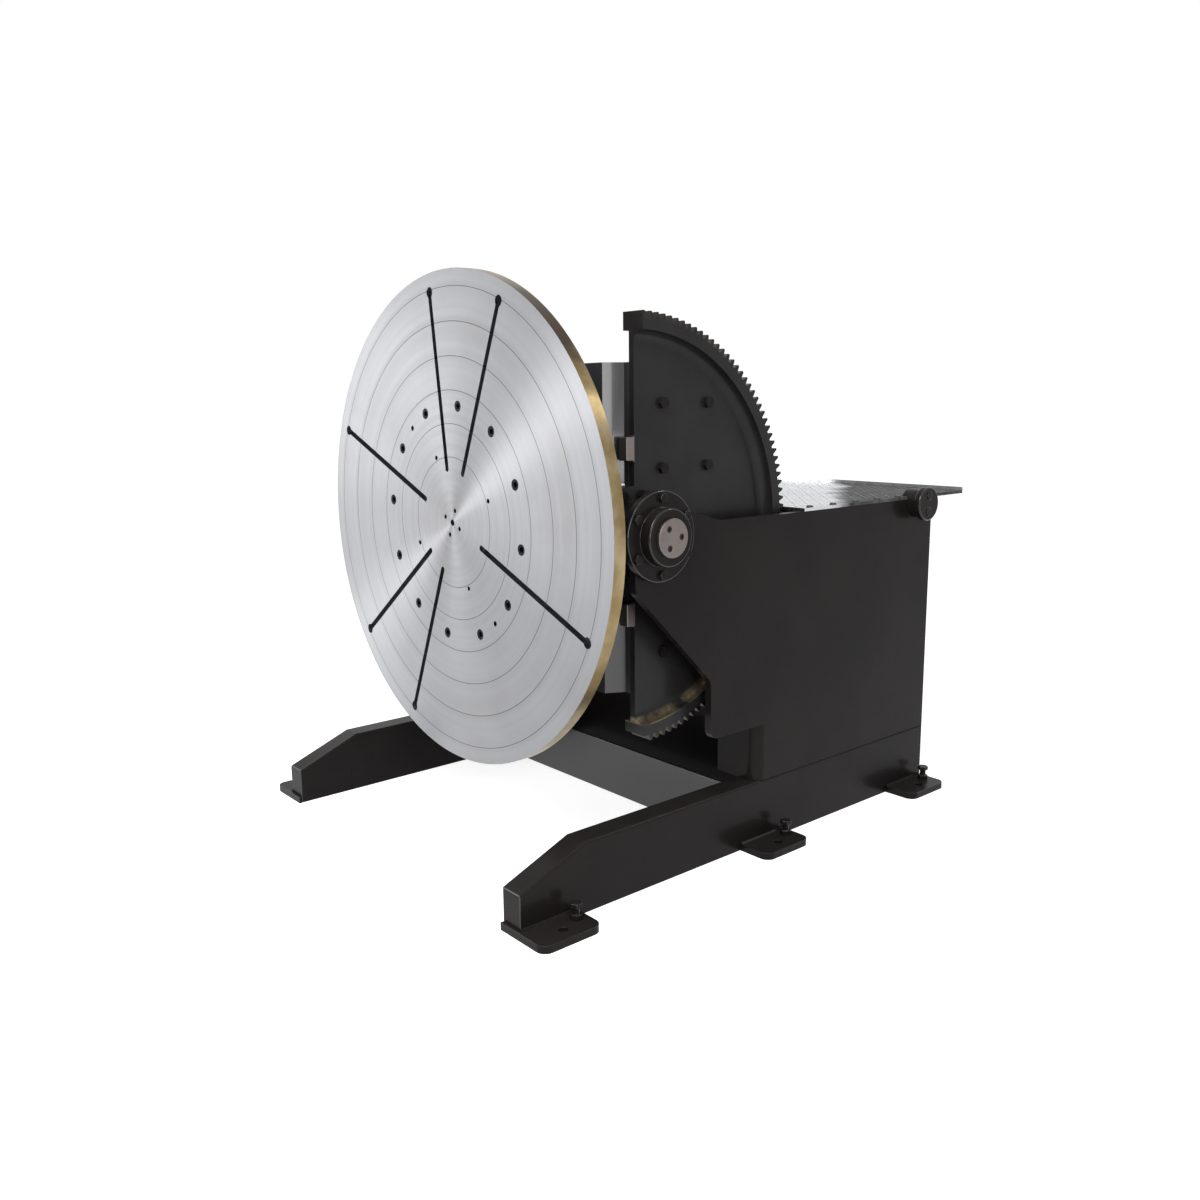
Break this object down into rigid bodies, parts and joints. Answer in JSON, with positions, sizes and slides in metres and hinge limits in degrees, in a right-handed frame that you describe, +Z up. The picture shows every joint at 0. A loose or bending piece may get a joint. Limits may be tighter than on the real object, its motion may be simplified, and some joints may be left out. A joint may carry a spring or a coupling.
{
  "type": "welding positioner",
  "caption": "Floor-standing gear-tilt welding positioner: a slotted round table turns on a cradle that toothed half-circle sectors tilt from face-up to past upright.",
  "frame": {"origin": "on the floor, at the centre of the four corner anchor holes", "axes": "+Z up, +Y from the table towards the deck, +X the machine's left side; the upright table faces -Y"},
  "size_m": [1.58, 2.01, 1.76],
  "materials": {
    "frame_paint": "glossy charcoal machine enamel",
    "cradle_paint": "glossy charcoal machine enamel",
    "gear_steel": "oiled dark cast steel with machined, greased teeth",
    "pinion_steel": "oiled machined steel",
    "table_steel": "face-turned bright steel",
    "cap_steel": "machined bare steel",
    "bronze": "bearing bronze and copper-graphite",
    "fastener_steel": "zinc-plated and blackened fasteners",
    "deck_aluminium": "bright rolled tread plate",
    "drive_paint": "grey gearbox enamel",
    "motor_paint": "blue-grey motor enamel",
    "gland_plastic": "black nylon"
  },
  "bodies": {
    "base": {"side_frame_left": "frame_paint", "side_frame_right": "frame_paint", "leg_left": "frame_paint", "leg_right": "frame_paint", "front_cross_plate": "frame_paint", "bulkhead": "frame_paint", "rear_wall": "frame_paint", "access_cover": "frame_paint", "cover_screws": "fastener_steel", "cable_glands": "gland_plastic", "deck_brackets": "frame_paint", "deck_plate": "deck_aluminium", "deck_screws": "fastener_steel", "foot_plates": "frame_paint", "jack_screws": "frame_paint", "lifting_bollard_left": "frame_paint", "lifting_bollard_right": "frame_paint", "bollard_screws": "frame_paint", "trunnion_housing_left": "frame_paint", "trunnion_housing_right": "frame_paint", "trunnion_bushings": "bronze", "housing_screws": "frame_paint", "tilt_gearbox": "drive_paint", "tilt_motor": "motor_paint", "tilt_drive_bolts": "fastener_steel", "pinion_bearings": "drive_paint", "pinion_bearing_bolts": "fastener_steel"},
    "cradle": {"tilt_sector_left": "gear_steel", "tilt_sector_right": "gear_steel", "cradle_front_plate": "cradle_paint", "cradle_side_plate_left": "cradle_paint", "cradle_side_plate_right": "cradle_paint", "cradle_top_plate": "cradle_paint", "cradle_bottom_plate": "cradle_paint", "bearing_seat_ring": "cradle_paint", "trunnion_shaft_left": "pinion_steel", "trunnion_shaft_right": "pinion_steel", "shaft_bolts": "cradle_paint", "shaft_caps": "cap_steel", "cap_screws": "fastener_steel", "thrust_washers": "pinion_steel", "key_blocks": "cap_steel", "sector_bolts": "cradle_paint", "slewing_inner_ring": "pinion_steel", "slewing_bolts": "fastener_steel", "rotation_gearbox": "drive_paint", "rotation_gearbox_bolts": "fastener_steel", "rotation_motor": "motor_paint", "earth_brush_holder": "cradle_paint", "earth_brush": "bronze", "earth_brush_screws": "fastener_steel"},
    "table": {"faceplate": "table_steel", "table_screws": "fastener_steel", "slewing_outer_ring": "pinion_steel"},
    "tilt_drive_shaft": {"tilt_pinion_left": "pinion_steel", "tilt_pinion_right": "pinion_steel", "tilt_pinion_shaft": "pinion_steel"},
    "table_drive_pinion": {"rotation_pinion": "pinion_steel"}
  },
  "joints": [
    {"name": "tilt", "type": "hinge", "parent": "base", "child": "cradle", "pos_m": [0, -0.41, 1.01], "axis": [1, 0, 0], "range_deg": [-90, 45]},
    {"name": "table_spin", "type": "hinge", "parent": "cradle", "child": "table", "pos_m": [0, -0.41, 1.01], "axis": [0, 1, 0], "continuous": true},
    {"name": "tilt_drive_spin", "type": "hinge", "parent": "base", "child": "tilt_drive_shaft", "pos_m": [0, 0.12885, 0.62889], "axis": [1, 0, 0], "range_deg": [-396, 788]},
    {"name": "table_drive_spin", "type": "hinge", "parent": "cradle", "child": "table_drive_pinion", "pos_m": [-0.32244, -0.5, 0.68756], "axis": [0, 1, 0], "continuous": true}
  ],
  "couplings": [
    {"joint": "tilt_drive_spin", "follows": "tilt", "ratio": -8.7059},
    {"joint": "table_drive_spin", "follows": "table_spin", "ratio": -6.125}
  ]
}
